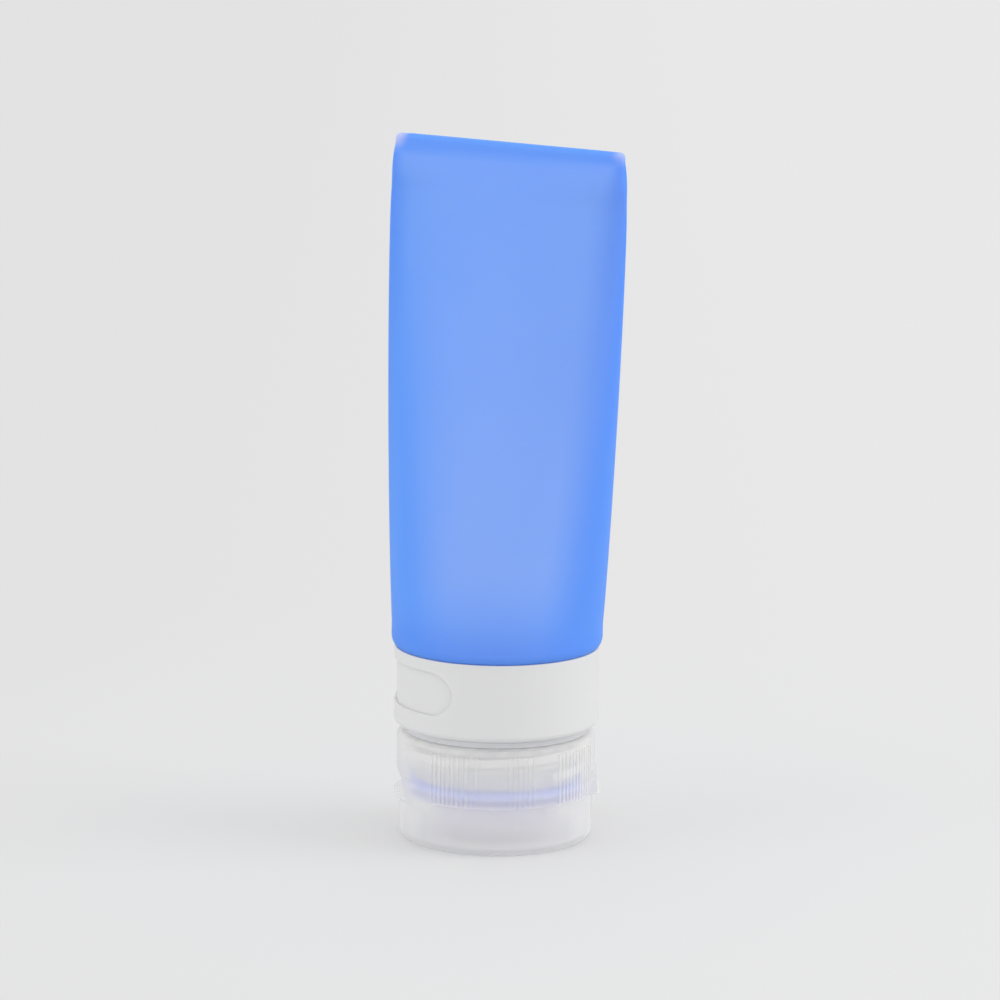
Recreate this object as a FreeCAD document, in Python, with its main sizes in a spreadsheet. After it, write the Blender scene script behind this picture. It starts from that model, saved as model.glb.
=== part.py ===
# Soft silicone squeeze bottle that stands upside down on its flip-top screw cap.
# Millimetres. +Z is up, the origin is the centre of the lid's end face, and the
# flat seam at the top of the tube runs along X.

import FreeCAD
import Part
import Sketcher
import math
import os
import re

doc = FreeCAD.newDocument("squeeze_bottle")
sheet = doc.addObject("Spreadsheet::Sheet", "sizes")

# Driving sizes, millimetres and degrees
DRIVING = (
    # neck insert, on which the rest is built up
    ("neck_radius", 16.5),
    ("neck_wall", 2.9),
    ("sleeve_inset", 1.0),
    ("sleeve_height", 14.0),
    ("flange_step", 1.9),
    ("flange_wall", 1.0),
    ("bead_height", 1.2),
    ("bead_step", 1.0),
    ("bead_drop", 0.7),
    ("bead_root", 0.6),
    ("bead_width", 2.5),
    ("bead_count", 24),
    ("barb_step", 0.7),
    ("barb_height", 2.0),
    ("barb_level", 7.0),
    # silicone skirt, label ring and the collar that turns on it
    ("skirt_wall", 1.8),
    ("ring_wall", 2.55),
    ("ring_foot_wall", 0.5),
    ("ring_height", 15.8),
    ("collar_wall", 0.5),
    ("collar_height", 15.8),
    ("collar_lip", 1.0),
    ("collar_round", 1.3),
    ("collar_rim_round", 0.2),
    ("window_height", 8.8),
    ("window_length", 27.6),
    ("window_level", 9.0),
    ("collar_angle", -132.5),
    # silicone tube
    ("tube_step", 0.6),
    ("tube_wall", 2.0),
    ("tube_round", 2.4),
    ("shoulder_height", 5.0),
    ("tube_height", 101.2),
    ("belly_swell", 4.5),
    ("belly_share", 0.86),
    ("swell_power", 1.6),
    ("taper_power", 1.3),
    ("cavity_share", 0.965),
    ("seam_spread", 3.6),
    ("seam_thick", 3.2),
    ("seam_band", 3.6),
    ("seam_corner", 1.0),
    # screw cap
    ("thread_room", 1.4),
    ("cap_wall", 2.0),
    ("cap_height", 12.0),
    ("cap_edge_round", 1.2),
    ("deck_wall", 1.2),
    ("boss_radius", 12.35),
    ("boss_wall", 1.5),
    ("boss_gap", 0.6),
    ("boss_end", 1.4),
    ("boss_round", 0.8),
    ("scoop_radius", 8.4),
    ("scoop_depth", 1.5),
    ("scoop_rise", 0.2),
    ("scoop_width", 18.0),
    ("rib_depth", 0.22),
    ("rib_root", 0.4),
    ("rib_width", 0.5),
    ("rib_pitch", 2.9),
    ("rib_foot", 0.4),
    ("rib_head", 1.6),
    ("rib_start_1", 18.6),
    ("rib_count_1", 12),
    ("rib_start_2", 67.2),
    ("rib_count_2", 6),
    ("rib_start_3", 100.6),
    ("rib_count_3", 11),
    ("cap_angle", 25.0),
    # valve in the nozzle boss
    ("valve_room", 0.8),
    ("valve_flange", 1.6),
    ("valve_cup_wall", 1.5),
    ("valve_skin", 0.9),
    ("valve_bevel", 1.6),
    ("slit_length", 6.0),
    ("slit_width", 0.2),
    # flip lid
    ("lid_height", 9.9),
    ("lid_inset", 0.6),
    ("lid_wall", 1.2),
    ("lid_floor", 1.3),
    ("lid_edge_round", 2.0),
    ("rim_step", 0.5),
    ("rim_height", 1.7),
    ("tab_reach", 0.6),
    ("tab_inset", 3.0),
    ("tab_tip", 0.8),
    ("tab_slope", 1.3),
    ("tab_drop", 0.2),
    ("plug_radius", 4.2),
    ("plug_taper", 0.4),
    ("plug_wall", 1.0),
    ("plug_height", 1.6),
    ("plug_room", 0.8),
    # hinge between lid and cap
    ("hinge_out", 0.4),
    ("hinge_width", 11.0),
    ("lug_height", 2.9),
    ("lug_slope", 1.5),
    ("lug_root", 1.0),
    ("lug_gap", 0.15),
    ("film_radius", 0.22),
    ("film_wall", 0.25),
    # clearances
    ("fit_gap", 0.05),
    ("turn_gap", 0.05),
    ("end_gap", 0.2),
    ("lip_gap", 0.3),
)

# Levels and radii worked out from the driving sizes
DERIVED = (
    ("neck_bore", "neck_radius - neck_wall"),
    ("sleeve_radius", "neck_radius - sleeve_inset"),
    ("flange_radius", "neck_radius + flange_step"),
    ("cap_bore", "neck_radius + thread_room"),
    ("cap_radius", "cap_bore + cap_wall"),
    ("cap_top", "lid_height + cap_height"),
    ("deck_top", "lid_height + deck_wall"),
    ("lid_radius", "cap_radius - lid_inset"),
    ("lid_bore", "lid_radius - lid_wall"),
    ("rim_radius", "lid_radius + rim_step"),
    ("rim_low", "lid_height - rim_height"),
    ("tab_radius", "rim_radius + tab_reach - tab_inset"),
    ("tab_top", "lid_height - tab_drop"),
    ("plug_top", "lid_floor + plug_height"),
    ("nozzle_radius", "plug_radius + plug_room"),
    ("hinge_reach", "cap_radius + hinge_out"),
    ("boss_low", "lid_floor + boss_gap"),
    ("boss_bore", "boss_radius - boss_wall"),
    ("cup_low", "boss_low + boss_end"),
    ("cup_radius", "boss_bore - fit_gap"),
    ("cup_bore", "cup_radius - valve_cup_wall"),
    ("valve_radius", "cap_bore - valve_room"),
    ("seat_level", "deck_top + valve_flange"),
    ("bead_top", "cap_top - bead_drop"),
    ("flange_low", "cap_top + end_gap"),
    ("flange_top", "flange_low + flange_wall"),
    ("barb_low", "flange_top + barb_level"),
    ("barb_top", "barb_low + barb_height"),
    ("sleeve_top", "flange_top + sleeve_height"),
    ("skirt_bore", "sleeve_radius + fit_gap"),
    ("skirt_radius", "skirt_bore + skirt_wall"),
    ("ring_bore", "skirt_radius + fit_gap"),
    ("ring_foot", "ring_bore + ring_foot_wall"),
    ("ring_radius", "ring_bore + ring_wall"),
    ("ring_top", "flange_top + ring_height"),
    ("collar_low", "flange_top + lip_gap"),
    ("collar_top", "collar_low + collar_height"),
    ("lip_top", "collar_low + collar_lip"),
    ("lip_bore", "ring_foot + turn_gap"),
    ("collar_bore", "ring_radius + turn_gap"),
    ("collar_radius", "collar_bore + collar_wall"),
    ("shoulder_low", "ring_top + fit_gap"),
    ("loft_low", "shoulder_low + shoulder_height"),
    ("tube_radius", "collar_radius + tube_step"),
    ("cavity_radius", "tube_radius - tube_wall"),
    ("cavity_low", "shoulder_low + tube_wall"),
    ("belly_half", "tube_radius + belly_swell"),
    ("seam_half", "tube_radius + seam_spread"),
    ("tube_top", "shoulder_low + tube_height"),
    ("loft_rise", "tube_height - shoulder_height - seam_band / 2"),
)
NAMES = [name for name, _ in DRIVING + DERIVED]


def fill_sheet():
    """Give every size a cell of its own that bears its name."""
    for row, (name, content) in enumerate(DRIVING + DERIVED, start=1):
        cell = "A%d" % row
        sheet.set(cell, "=" + content if isinstance(content, str) else str(content))
        sheet.setAlias(cell, name)
    doc.recompute()


def formula(text):
    """The same formula, with each named size looked up in the sheet."""
    return re.sub(
        r"[a-z]\w*",
        lambda word: "sizes." + word.group() if word.group() in NAMES else word.group(),
        text,
    )


def value(text):
    """What a formula of named sizes comes to now."""
    return float(sheet.evalExpression(formula(text)))


def bind(thing, prop, text):
    """Tie one property to a formula of named sizes."""
    thing.setExpression(prop, formula(text))


def new_body(name, angle="0"):
    """A body named for its file, turned about Z by an angle."""
    body = doc.addObject("PartDesign::Body", name)
    body.Label = name
    body.Placement = FreeCAD.Placement(
        FreeCAD.Vector(), FreeCAD.Rotation(FreeCAD.Vector(0, 0, 1), value(angle))
    )
    if angle in NAMES:
        bind(body, "Placement.Rotation.Angle", angle)
    return body


def origin_feature(body, role):
    """One of a body's own origin planes or axes."""
    return next(f for f in body.Origin.OriginFeatures if f.Role == role)


def attach(thing, body, role, level=None):
    """Lay a sketch or a primitive on an origin plane, at a level along its normal."""
    thing.AttachmentSupport = [(origin_feature(body, role), "")]
    thing.MapMode = "FlatFace"
    if level:
        bind(thing, "AttachmentOffset.Base.z", level)
    return thing


def new_sketch(body, name, role, level=None):
    return attach(body.newObject("Sketcher::SketchObject", name), body, role, level)


def pin_down(sketch, kind, places, text):
    """Add one dimension to a sketch and tie it to a formula."""
    index = sketch.addConstraint(Sketcher.Constraint(kind, *places, value(text)))
    bind(sketch, "Constraints[%d]" % index, text)


def polygon(sketch, corners):
    """A closed outline of straight lines. A corner is two formulas: across and up."""
    points = [FreeCAD.Vector(value(across), value(up), 0) for across, up in corners]
    count = len(points)
    for i in range(count):
        sketch.addGeometry(Part.LineSegment(points[i], points[(i + 1) % count]), False)
    for i in range(count):
        joint = Sketcher.Constraint("Coincident", i, 2, (i + 1) % count, 1)
        sketch.addConstraint(joint)
    for i, (across, up) in enumerate(corners):
        pin_down(sketch, "DistanceX", (-1, 1, i, 1), across)
        pin_down(sketch, "DistanceY", (-1, 1, i, 1), up)


def turned(body, kind, name, corners):
    """A Revolution or a Groove of an outline of radii and levels, all round Z."""
    sketch = new_sketch(body, name + "_outline", "XZ_Plane")
    polygon(sketch, corners)
    feature = body.newObject("PartDesign::" + kind, name)
    feature.Profile = sketch
    feature.ReferenceAxis = (sketch, ["V_Axis"])
    feature.Angle = 360
    doc.recompute()
    return feature


def primitive(body, kind, name, role, level, across="0", up="0", **sizes):
    """A solid primitive on an origin plane, with its sizes tied to formulas."""
    feature = attach(body.newObject("PartDesign::" + kind, name), body, role, level)
    bind(feature, "AttachmentOffset.Base.x", across)
    bind(feature, "AttachmentOffset.Base.y", up)
    for prop, text in sizes.items():
        bind(feature, prop, text)
    doc.recompute()
    return feature


def padded(body, name, width, corners):
    """A plate of a width, centred on Y = 0, from an upright outline of places and levels."""
    sketch = new_sketch(body, name + "_outline", "XZ_Plane")
    polygon(sketch, corners)
    feature = body.newObject("PartDesign::Pad", name)
    feature.Profile = sketch
    feature.SideType = "Symmetric"
    bind(feature, "Length", width)
    doc.recompute()
    return feature


def circle_edges(feature, radius, level):
    """Names of the round edges about Z at a radius and a level."""
    found = []
    for i, edge in enumerate(feature.Shape.Edges, start=1):
        curve = edge.Curve
        if not isinstance(curve, Part.Circle):
            continue
        about_z = abs(curve.Center.x) + abs(curve.Center.y) < 1e-4
        if about_z and abs(curve.Radius - radius) < 1e-4 and abs(curve.Center.z - level) < 1e-4:
            found.append("Edge%d" % i)
    return found


def round_over(body, name, base, radius, level, rounding):
    """Fillet the round edges about Z that lie at a radius and a level."""
    edges = circle_edges(base, value(radius), value(level))
    feature = body.newObject("PartDesign::Fillet", name)
    feature.Base = (base, edges)
    bind(feature, "Radius", rounding)
    doc.recompute()
    return feature


def lid():
    """The flip lid, a shallow cup with a thumb tab, a hinge lug and a plug."""
    body = new_body("lid", "cap_angle")
    blank = turned(body, "Revolution", "lid_blank", (
        ("0", "0"),
        ("lid_radius", "0"),
        ("lid_radius", "rim_low"),
        ("rim_radius", "rim_low"),
        ("rim_radius", "lid_height"),
        ("0", "lid_height"),
    ))
    round_over(body, "lid_edge", blank, "lid_radius", "0", "lid_edge_round")
    centre = "-tab_inset"
    primitive(
        body, "AdditiveCylinder", "tab_tip", "XY_Plane", "tab_top - tab_tip", centre,
        Radius="tab_radius", Height="tab_tip",
    )
    primitive(
        body, "AdditiveCone", "tab_wedge", "XY_Plane", "tab_top - tab_tip - tab_slope", centre,
        Radius1="tab_radius - tab_slope", Radius2="tab_radius", Height="tab_slope",
    )
    turned(body, "Groove", "lid_hollow", (
        ("0", "lid_floor"),
        ("plug_radius - plug_wall", "lid_floor"),
        ("plug_radius - plug_wall", "plug_top"),
        ("plug_radius - plug_taper", "plug_top"),
        ("plug_radius", "lid_floor"),
        ("lid_bore", "lid_floor"),
        ("lid_bore", "lid_height + 1"),
        ("0", "lid_height + 1"),
    ))
    primitive(
        body, "AdditiveBox", "lid_lug", "XY_Plane", "rim_low",
        "lid_radius - lug_root", "-hinge_width / 2",
        Length="hinge_reach - lid_radius + lug_root", Width="hinge_width",
        Height="rim_height - lug_gap",
    )
    return body


def hinge_film():
    """The web of the hinge, folded outwards round the hinge line while the lid is shut."""
    body = new_body("hinge_film", "cap_angle")
    sketch = new_sketch(body, "film_section", "XZ_Plane")
    centre = FreeCAD.Vector(value("hinge_reach"), value("lid_height"), 0)
    inner = value("film_radius")
    outer = value("film_radius + film_wall")
    up = FreeCAD.Vector(0, 1, 0)
    for radius in (inner, outer):
        circle = Part.Circle(centre, FreeCAD.Vector(0, 0, 1), radius)
        arc = Part.ArcOfCircle(circle, -math.pi / 2, math.pi / 2)
        sketch.addGeometry(arc, False)
    sketch.addGeometry(Part.LineSegment(centre - up * outer, centre - up * inner), False)
    sketch.addGeometry(Part.LineSegment(centre + up * inner, centre + up * outer), False)
    for pair in ((2, 1, 1, 1), (2, 2, 0, 1), (3, 1, 0, 2), (3, 2, 1, 2), (0, 3, 1, 3)):
        sketch.addConstraint(Sketcher.Constraint("Coincident", *pair))
    sketch.addConstraint(Sketcher.Constraint("Vertical", 2))
    sketch.addConstraint(Sketcher.Constraint("Vertical", 3))
    sketch.addConstraint(Sketcher.Constraint("Vertical", 0, 3, 0, 2))
    pin_down(sketch, "DistanceX", (-1, 1, 0, 3), "hinge_reach")
    pin_down(sketch, "DistanceY", (-1, 1, 0, 3), "lid_height")
    pin_down(sketch, "Radius", (0,), "film_radius")
    pin_down(sketch, "Radius", (1,), "film_radius + film_wall")
    web = body.newObject("PartDesign::Pad", "film_web")
    web.Profile = sketch
    web.SideType = "Symmetric"
    bind(web, "Length", "hinge_width")
    doc.recompute()
    return body


def rib_group(body, number):
    """A run of fine upright ribs, and its mirror image across the hinge plane."""
    start = "rib_start_%d" % number
    turn = FreeCAD.Rotation(FreeCAD.Vector(0, 0, 1), value(start))
    rib = body.newObject("PartDesign::AdditiveBox", "rib_%d" % number)
    attach(rib, body, "XY_Plane")
    rib.AttachmentOffset = FreeCAD.Placement(FreeCAD.Vector(), turn)
    reach = "(cap_radius - rib_root)"
    bind(rib, "AttachmentOffset.Rotation.Angle", start)
    bind(rib, "AttachmentOffset.Base.x",
         "%s * cos(%s) + rib_width / 2 * sin(%s)" % (reach, start, start))
    bind(rib, "AttachmentOffset.Base.y",
         "%s * sin(%s) - rib_width / 2 * cos(%s)" % (reach, start, start))
    bind(rib, "AttachmentOffset.Base.z", "lid_height + rib_foot")
    bind(rib, "Length", "rib_root + rib_depth")
    bind(rib, "Width", "rib_width")
    bind(rib, "Height", "cap_height - rib_foot - rib_head")
    doc.recompute()
    group = body.newObject("PartDesign::MultiTransform", "rib_group_%d" % number)
    group.Originals = [rib]
    row = body.newObject("PartDesign::PolarPattern", "rib_row_%d" % number)
    row.Axis = (origin_feature(body, "Z_Axis"), [""])
    row.Mode = "Spacing"
    bind(row, "Offset", "rib_pitch")
    bind(row, "Occurrences", "rib_count_%d" % number)
    mirror = body.newObject("PartDesign::Mirrored", "rib_mirror_%d" % number)
    mirror.MirrorPlane = (origin_feature(body, "XZ_Plane"), [""])
    group.Transformations = [row, mirror]
    body.Tip = group
    doc.recompute()


def cap_body():
    """The screw cap: skirt, deck and nozzle boss, with a thumb scoop and a hinge lug."""
    body = new_body("cap_body", "cap_angle")
    blank = turned(body, "Revolution", "cap_blank", (
        ("nozzle_radius", "boss_low"),
        ("boss_radius", "boss_low"),
        ("boss_radius", "lid_height"),
        ("cap_radius", "lid_height"),
        ("cap_radius", "cap_top"),
        ("cap_bore", "cap_top"),
        ("cap_bore", "deck_top"),
        ("boss_bore", "deck_top"),
        ("boss_bore", "cup_low"),
        ("nozzle_radius", "cup_low"),
    ))
    edge = round_over(body, "cap_edge", blank, "cap_radius", "cap_top", "cap_edge_round")
    round_over(body, "boss_edge", edge, "boss_radius", "boss_low", "boss_round")
    primitive(
        body, "SubtractiveCylinder", "thumb_scoop", "XZ_Plane", "-scoop_width / 2",
        "scoop_depth - cap_radius - scoop_radius", "lid_height + scoop_rise",
        Radius="scoop_radius", Height="scoop_width",
    )
    padded(body, "cap_lug", "hinge_width", (
        ("cap_radius - lug_root", "lid_height + lug_gap"),
        ("hinge_reach", "lid_height + lug_gap"),
        ("hinge_reach", "lid_height + lug_height"),
        ("cap_radius", "lid_height + lug_height + lug_slope"),
        ("cap_radius - lug_root", "lid_height + lug_height + lug_slope"),
    ))
    for number in (1, 2, 3):
        rib_group(body, number)
    return body


def valve():
    """The silicone seal: a flat flange, and a cup that ends in a slit skin."""
    body = new_body("valve", "cap_angle")
    turned(body, "Revolution", "valve_cup", (
        ("0", "cup_low"),
        ("cup_radius - valve_bevel", "cup_low"),
        ("cup_radius", "cup_low + valve_bevel"),
        ("cup_radius", "deck_top"),
        ("valve_radius", "deck_top"),
        ("valve_radius", "seat_level"),
        ("cup_bore", "seat_level"),
        ("cup_bore", "cup_low + valve_bevel + valve_skin"),
        ("cup_bore - valve_bevel", "cup_low + valve_skin"),
        ("0", "cup_low + valve_skin"),
    ))
    for name, long_side, short_side in (
        ("slit_across", "slit_length", "slit_width"),
        ("slit_along", "slit_width", "slit_length"),
    ):
        primitive(
            body, "SubtractiveBox", name, "XY_Plane", "cup_low - valve_skin",
            "-%s / 2" % long_side, "-%s / 2" % short_side,
            Length=long_side, Width=short_side, Height="valve_skin * 3",
        )
    return body


def neck():
    """The stiff insert: screw part, castellated bead, flange and barbed sleeve."""
    body = new_body("neck")
    turned(body, "Revolution", "neck_tube", (
        ("neck_bore", "seat_level"),
        ("neck_radius", "seat_level"),
        ("neck_radius", "flange_low"),
        ("flange_radius", "flange_low"),
        ("flange_radius", "flange_top"),
        ("sleeve_radius", "flange_top"),
        ("sleeve_radius", "barb_low"),
        ("sleeve_radius + barb_step", "barb_low"),
        ("sleeve_radius", "barb_top"),
        ("sleeve_radius", "sleeve_top"),
        ("neck_bore", "sleeve_top"),
    ))
    block = primitive(
        body, "AdditiveBox", "bead_block", "XY_Plane", "bead_top - bead_height",
        "neck_radius - bead_root", "-bead_width / 2",
        Length="bead_root + bead_step", Width="bead_width", Height="bead_height",
    )
    ring = body.newObject("PartDesign::PolarPattern", "bead_ring")
    ring.Originals = [block]
    ring.Axis = (origin_feature(body, "Z_Axis"), [""])
    ring.Angle = 360
    bind(ring, "Occurrences", "bead_count")
    body.Tip = ring
    doc.recompute()
    return body


def label_ring():
    """The stiff ring that clamps the silicone skirt and backs the label window."""
    body = new_body("label_ring")
    turned(body, "Revolution", "ring_wall", (
        ("ring_bore", "flange_top"),
        ("ring_foot", "flange_top"),
        ("ring_foot", "lip_top + end_gap"),
        ("ring_radius", "lip_top + end_gap"),
        ("ring_radius", "ring_top"),
        ("ring_bore", "ring_top"),
    ))
    return body


def stadium(sketch, half_length, radius, level):
    """A closed slot outline with round ends, lying level in a sketch."""
    reach = value(half_length) - value(radius)
    tall = value(radius)
    middle = value(level)
    corner = {
        (side, end): FreeCAD.Vector(side * reach, middle + end * tall, 0)
        for side in (-1, 1) for end in (-1, 1)
    }
    normal = FreeCAD.Vector(0, 0, 1)
    right = Part.Circle(FreeCAD.Vector(reach, middle, 0), normal, tall)
    left = Part.Circle(FreeCAD.Vector(-reach, middle, 0), normal, tall)
    quarter = math.pi / 2
    sketch.addGeometry(Part.LineSegment(corner[-1, 1], corner[1, 1]), False)
    sketch.addGeometry(Part.ArcOfCircle(right, -quarter, quarter), False)
    sketch.addGeometry(Part.LineSegment(corner[-1, -1], corner[1, -1]), False)
    sketch.addGeometry(Part.ArcOfCircle(left, quarter, 3 * quarter), False)
    for places in ((0, 2, 1, 2), (2, 2, 1, 1), (0, 1, 3, 1), (2, 1, 3, 2)):
        sketch.addConstraint(Sketcher.Constraint("Tangent", *places))
    sketch.addConstraint(Sketcher.Constraint("Horizontal", 0))
    sketch.addConstraint(Sketcher.Constraint("Equal", 1, 3))
    pin_down(sketch, "Radius", (1,), radius)
    pin_down(sketch, "DistanceX", (-1, 1, 1, 3), "%s - %s" % (half_length, radius))
    pin_down(sketch, "DistanceX", (3, 3, -1, 1), "%s - %s" % (half_length, radius))
    pin_down(sketch, "DistanceY", (-1, 1, 1, 3), level)


def collar():
    """The outer ring that turns, with a lip below and a long round-ended window."""
    body = new_body("collar", "collar_angle")
    blank = turned(body, "Revolution", "collar_wall_ring", (
        ("lip_bore", "collar_low"),
        ("collar_radius", "collar_low"),
        ("collar_radius", "collar_top"),
        ("collar_bore", "collar_top"),
        ("collar_bore", "lip_top"),
        ("lip_bore", "lip_top"),
    ))
    edge = round_over(body, "collar_edge", blank, "collar_radius", "collar_low", "collar_round")
    round_over(body, "collar_rim", edge, "collar_radius", "collar_top", "collar_rim_round")
    sketch = new_sketch(body, "window_outline", "YZ_Plane")
    stadium(sketch, "window_length / 2", "window_height / 2", "collar_low + window_level")
    window = body.newObject("PartDesign::Pocket", "window")
    window.Profile = sketch
    window.Reversed = True
    bind(window, "Length", "collar_radius + 1")
    doc.recompute()
    return body


def section(body, name, share, wall="0"):
    """An oval section of the tube at a share of the way from its round end to its seam.

    The half width swells by a power law to the belly and eases back to the seam, and
    the half depth falls by a power of the share.
    """
    belly = value("belly_share")
    if share < belly:
        swell = 1 - (1 - share / belly) ** value("swell_power")
        half_width = "tube_radius + (belly_half - tube_radius) * %.5f" % swell
    else:
        ease = ((share - belly) / (1 - belly)) ** 2
        half_width = "belly_half - (belly_half - seam_half) * %.5f" % ease
    fall = share ** value("taper_power")
    half_depth = "tube_radius - (tube_radius - seam_thick / 2) * %.5f" % fall
    sketch = new_sketch(body, name, "XY_Plane", "loft_low + loft_rise * %.5f" % share)
    wide = value(half_width + " - " + wall)
    deep = value(half_depth + " - " + wall)
    origin = FreeCAD.Vector(0, 0, 0)
    if share == 0:
        sketch.addGeometry(Part.Circle(origin, FreeCAD.Vector(0, 0, 1), wide), False)
        sketch.addConstraint(Sketcher.Constraint("Coincident", 0, 3, -1, 1))
        pin_down(sketch, "Radius", (0,), "tube_radius - " + wall)
        return sketch
    oval = Part.Ellipse(FreeCAD.Vector(wide, 0, 0), FreeCAD.Vector(0, deep, 0), origin)
    sketch.addGeometry(oval, False)
    sketch.exposeInternalGeometry(0)
    sketch.addConstraint(Sketcher.Constraint("Coincident", 0, 3, -1, 1))
    sketch.addConstraint(Sketcher.Constraint("Horizontal", 1))
    pin_down(sketch, "Distance", (1,), "2 * (%s - %s)" % (half_width, wall))
    pin_down(sketch, "Distance", (2,), "2 * (%s - %s)" % (half_depth, wall))
    return sketch


def loft(body, kind, name, shares, wall="0"):
    """A smooth loft through oval sections at the given shares of the height."""
    sections = [
        section(body, "%s_section_%d" % (name, i), share, wall)
        for i, share in enumerate(shares)
    ]
    feature = body.newObject("PartDesign::" + kind, name)
    feature.Profile = sections[0]
    feature.Sections = sections[1:]
    doc.recompute()
    return feature


def tube_body():
    """The silicone tube: a round mouth, a body that flattens, and a pressed seam."""
    body = new_body("tube_body")
    mouth = turned(body, "Revolution", "mouth", (
        ("skirt_bore", "flange_top"),
        ("skirt_radius", "flange_top"),
        ("skirt_radius", "shoulder_low"),
        ("tube_radius", "shoulder_low"),
        ("tube_radius", "loft_low"),
        ("cavity_radius", "loft_low"),
        ("cavity_radius", "cavity_low"),
        ("skirt_bore", "cavity_low"),
        ("skirt_bore", "barb_top + 2 * fit_gap"),
        ("skirt_bore + barb_step", "barb_low - fit_gap"),
        ("skirt_bore", "barb_low - fit_gap"),
    ))
    round_over(body, "shoulder_edge", mouth, "tube_radius", "shoulder_low", "tube_round")
    outer_shares = (0, 0.16, 0.32, 0.5, 0.68, value("belly_share"), 0.95, 1)
    loft(body, "AdditiveLoft", "outer_form", outer_shares)
    padded(body, "seam", "seam_thick", (
        ("-seam_half", "tube_top - seam_band"),
        ("seam_half", "tube_top - seam_band"),
        ("seam_half", "tube_top - seam_corner"),
        ("seam_half - seam_corner", "tube_top"),
        ("seam_corner - seam_half", "tube_top"),
        ("-seam_half", "tube_top - seam_corner"),
    ))
    inner_shares = (0, 0.16, 0.32, 0.5, 0.68, value("belly_share"), value("cavity_share"))
    loft(body, "SubtractiveLoft", "cavity", inner_shares, "tube_wall")
    return body


fill_sheet()
PIECES = [
    lid(), hinge_film(), cap_body(), valve(), neck(), label_ring(), collar(), tube_body(),
]
doc.recompute()

for thing in doc.Objects:
    if "Invalid" in thing.State or "Error" in thing.State:
        raise RuntimeError("%s did not compute: %s" % (thing.Label, thing.State))
os.makedirs("parts", exist_ok=True)
for piece in PIECES:
    shape = piece.Shape
    if shape.isNull() or not shape.isValid() or len(shape.Solids) != 1:
        raise RuntimeError("%s is not one valid solid" % piece.Label)
    box = shape.BoundBox
    print("%-12s %8.0f mm3  z %6.2f to %6.2f" % (piece.Label, shape.Volume, box.ZMin, box.ZMax))
for piece in PIECES:
    piece.Shape.exportStep("parts/%s.step" % piece.Label)
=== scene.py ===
# %% [markdown]
# # A silicone travel bottle that stands on its flip-top cap
#
# The bottle is a soft tube of blue silicone, pressed flat into a seam at one end and
# clamped by a white ring at the other. A milky screw cap with a flip lid closes it, and
# the bottle stands upside down on that lid. The rigid pieces come from the frame and get
# their finishes here. The tube, the hinge strap and the screw threads are made here.

import bpy
import numpy as np
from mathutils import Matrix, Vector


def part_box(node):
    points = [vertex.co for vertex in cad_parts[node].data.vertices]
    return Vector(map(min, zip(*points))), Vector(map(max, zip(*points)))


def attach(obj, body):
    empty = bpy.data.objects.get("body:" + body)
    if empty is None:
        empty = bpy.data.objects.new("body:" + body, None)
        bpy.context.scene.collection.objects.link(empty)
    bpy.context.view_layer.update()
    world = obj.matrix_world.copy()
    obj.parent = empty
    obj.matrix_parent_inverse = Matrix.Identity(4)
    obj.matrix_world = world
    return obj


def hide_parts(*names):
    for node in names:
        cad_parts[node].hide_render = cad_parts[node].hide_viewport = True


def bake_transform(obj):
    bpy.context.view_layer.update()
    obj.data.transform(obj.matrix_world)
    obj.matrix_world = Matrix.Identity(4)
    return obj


# The frame is in metres, so a size in millimetres is written times MM.
MM = 0.001
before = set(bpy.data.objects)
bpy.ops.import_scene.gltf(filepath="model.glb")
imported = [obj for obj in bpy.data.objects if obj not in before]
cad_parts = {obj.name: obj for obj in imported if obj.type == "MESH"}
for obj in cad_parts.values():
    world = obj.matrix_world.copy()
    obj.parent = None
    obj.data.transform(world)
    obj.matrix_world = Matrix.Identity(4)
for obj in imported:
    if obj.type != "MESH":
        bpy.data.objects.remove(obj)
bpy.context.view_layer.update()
print("frame nodes:", ", ".join(sorted(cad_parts)))

# %% [markdown]
# ## The camera
#
# The picture was taken from far away with a long lens, so upright lines hardly converge.
# The camera looks down by eleven degrees, and the flat seam is turned twenty-five degrees
# away from it, which is why the top edge of the tube slopes. An eye point on a circle
# round the bottle, with a small roll for a camera held slightly askew, says all of that.
# Milky plastic is wall behind wall, so light is followed over more bounces than usual.

# %% Camera
AZIMUTH = np.radians(25.08)
ELEVATION = np.radians(11.0)
ROLL = np.radians(0.55)
EYE_DISTANCE = 1.2
SENSOR = 36.0
LENS = 217.1
FAR_CLIP = 50.0
AIM_HEIGHT = 68.5 * MM
AIM_SIDEWAYS = 0.338 * MM
BOUNCES = 28
MILKY_BOUNCES = 16
CLEAR_BOUNCES = 24

camera_right = np.array([np.cos(AZIMUTH), np.sin(AZIMUTH), 0])
camera_back = np.array([
    np.sin(AZIMUTH) * np.cos(ELEVATION),
    -np.cos(AZIMUTH) * np.cos(ELEVATION),
    np.sin(ELEVATION),
])
camera_up = np.cross(camera_back, camera_right)
aim = camera_right * AIM_SIDEWAYS + np.array([0, 0, AIM_HEIGHT])


def stand(name, data, right, up, back, place):
    """An object at a place, whose own axes point right, up and back."""
    holder = bpy.data.objects.new(name, data)
    bpy.context.scene.collection.objects.link(holder)
    pose = np.eye(4)
    pose[:3] = np.stack([right, up, back, place], -1)
    holder.matrix_world = pose.T.tolist()
    return holder


def place_camera():
    """An eye point at a distance from the aim, whose level right-hand axis is rolled."""
    turned_right = camera_right * np.cos(ROLL) + camera_up * np.sin(ROLL)
    turned_up = camera_up * np.cos(ROLL) - camera_right * np.sin(ROLL)
    lens = bpy.data.cameras.new("camera")
    lens.lens = LENS
    lens.sensor_width = SENSOR
    lens.clip_end = FAR_CLIP
    return stand(
        "camera", lens, turned_right, turned_up, camera_back, aim + camera_back * EYE_DISTANCE
    )


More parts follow.
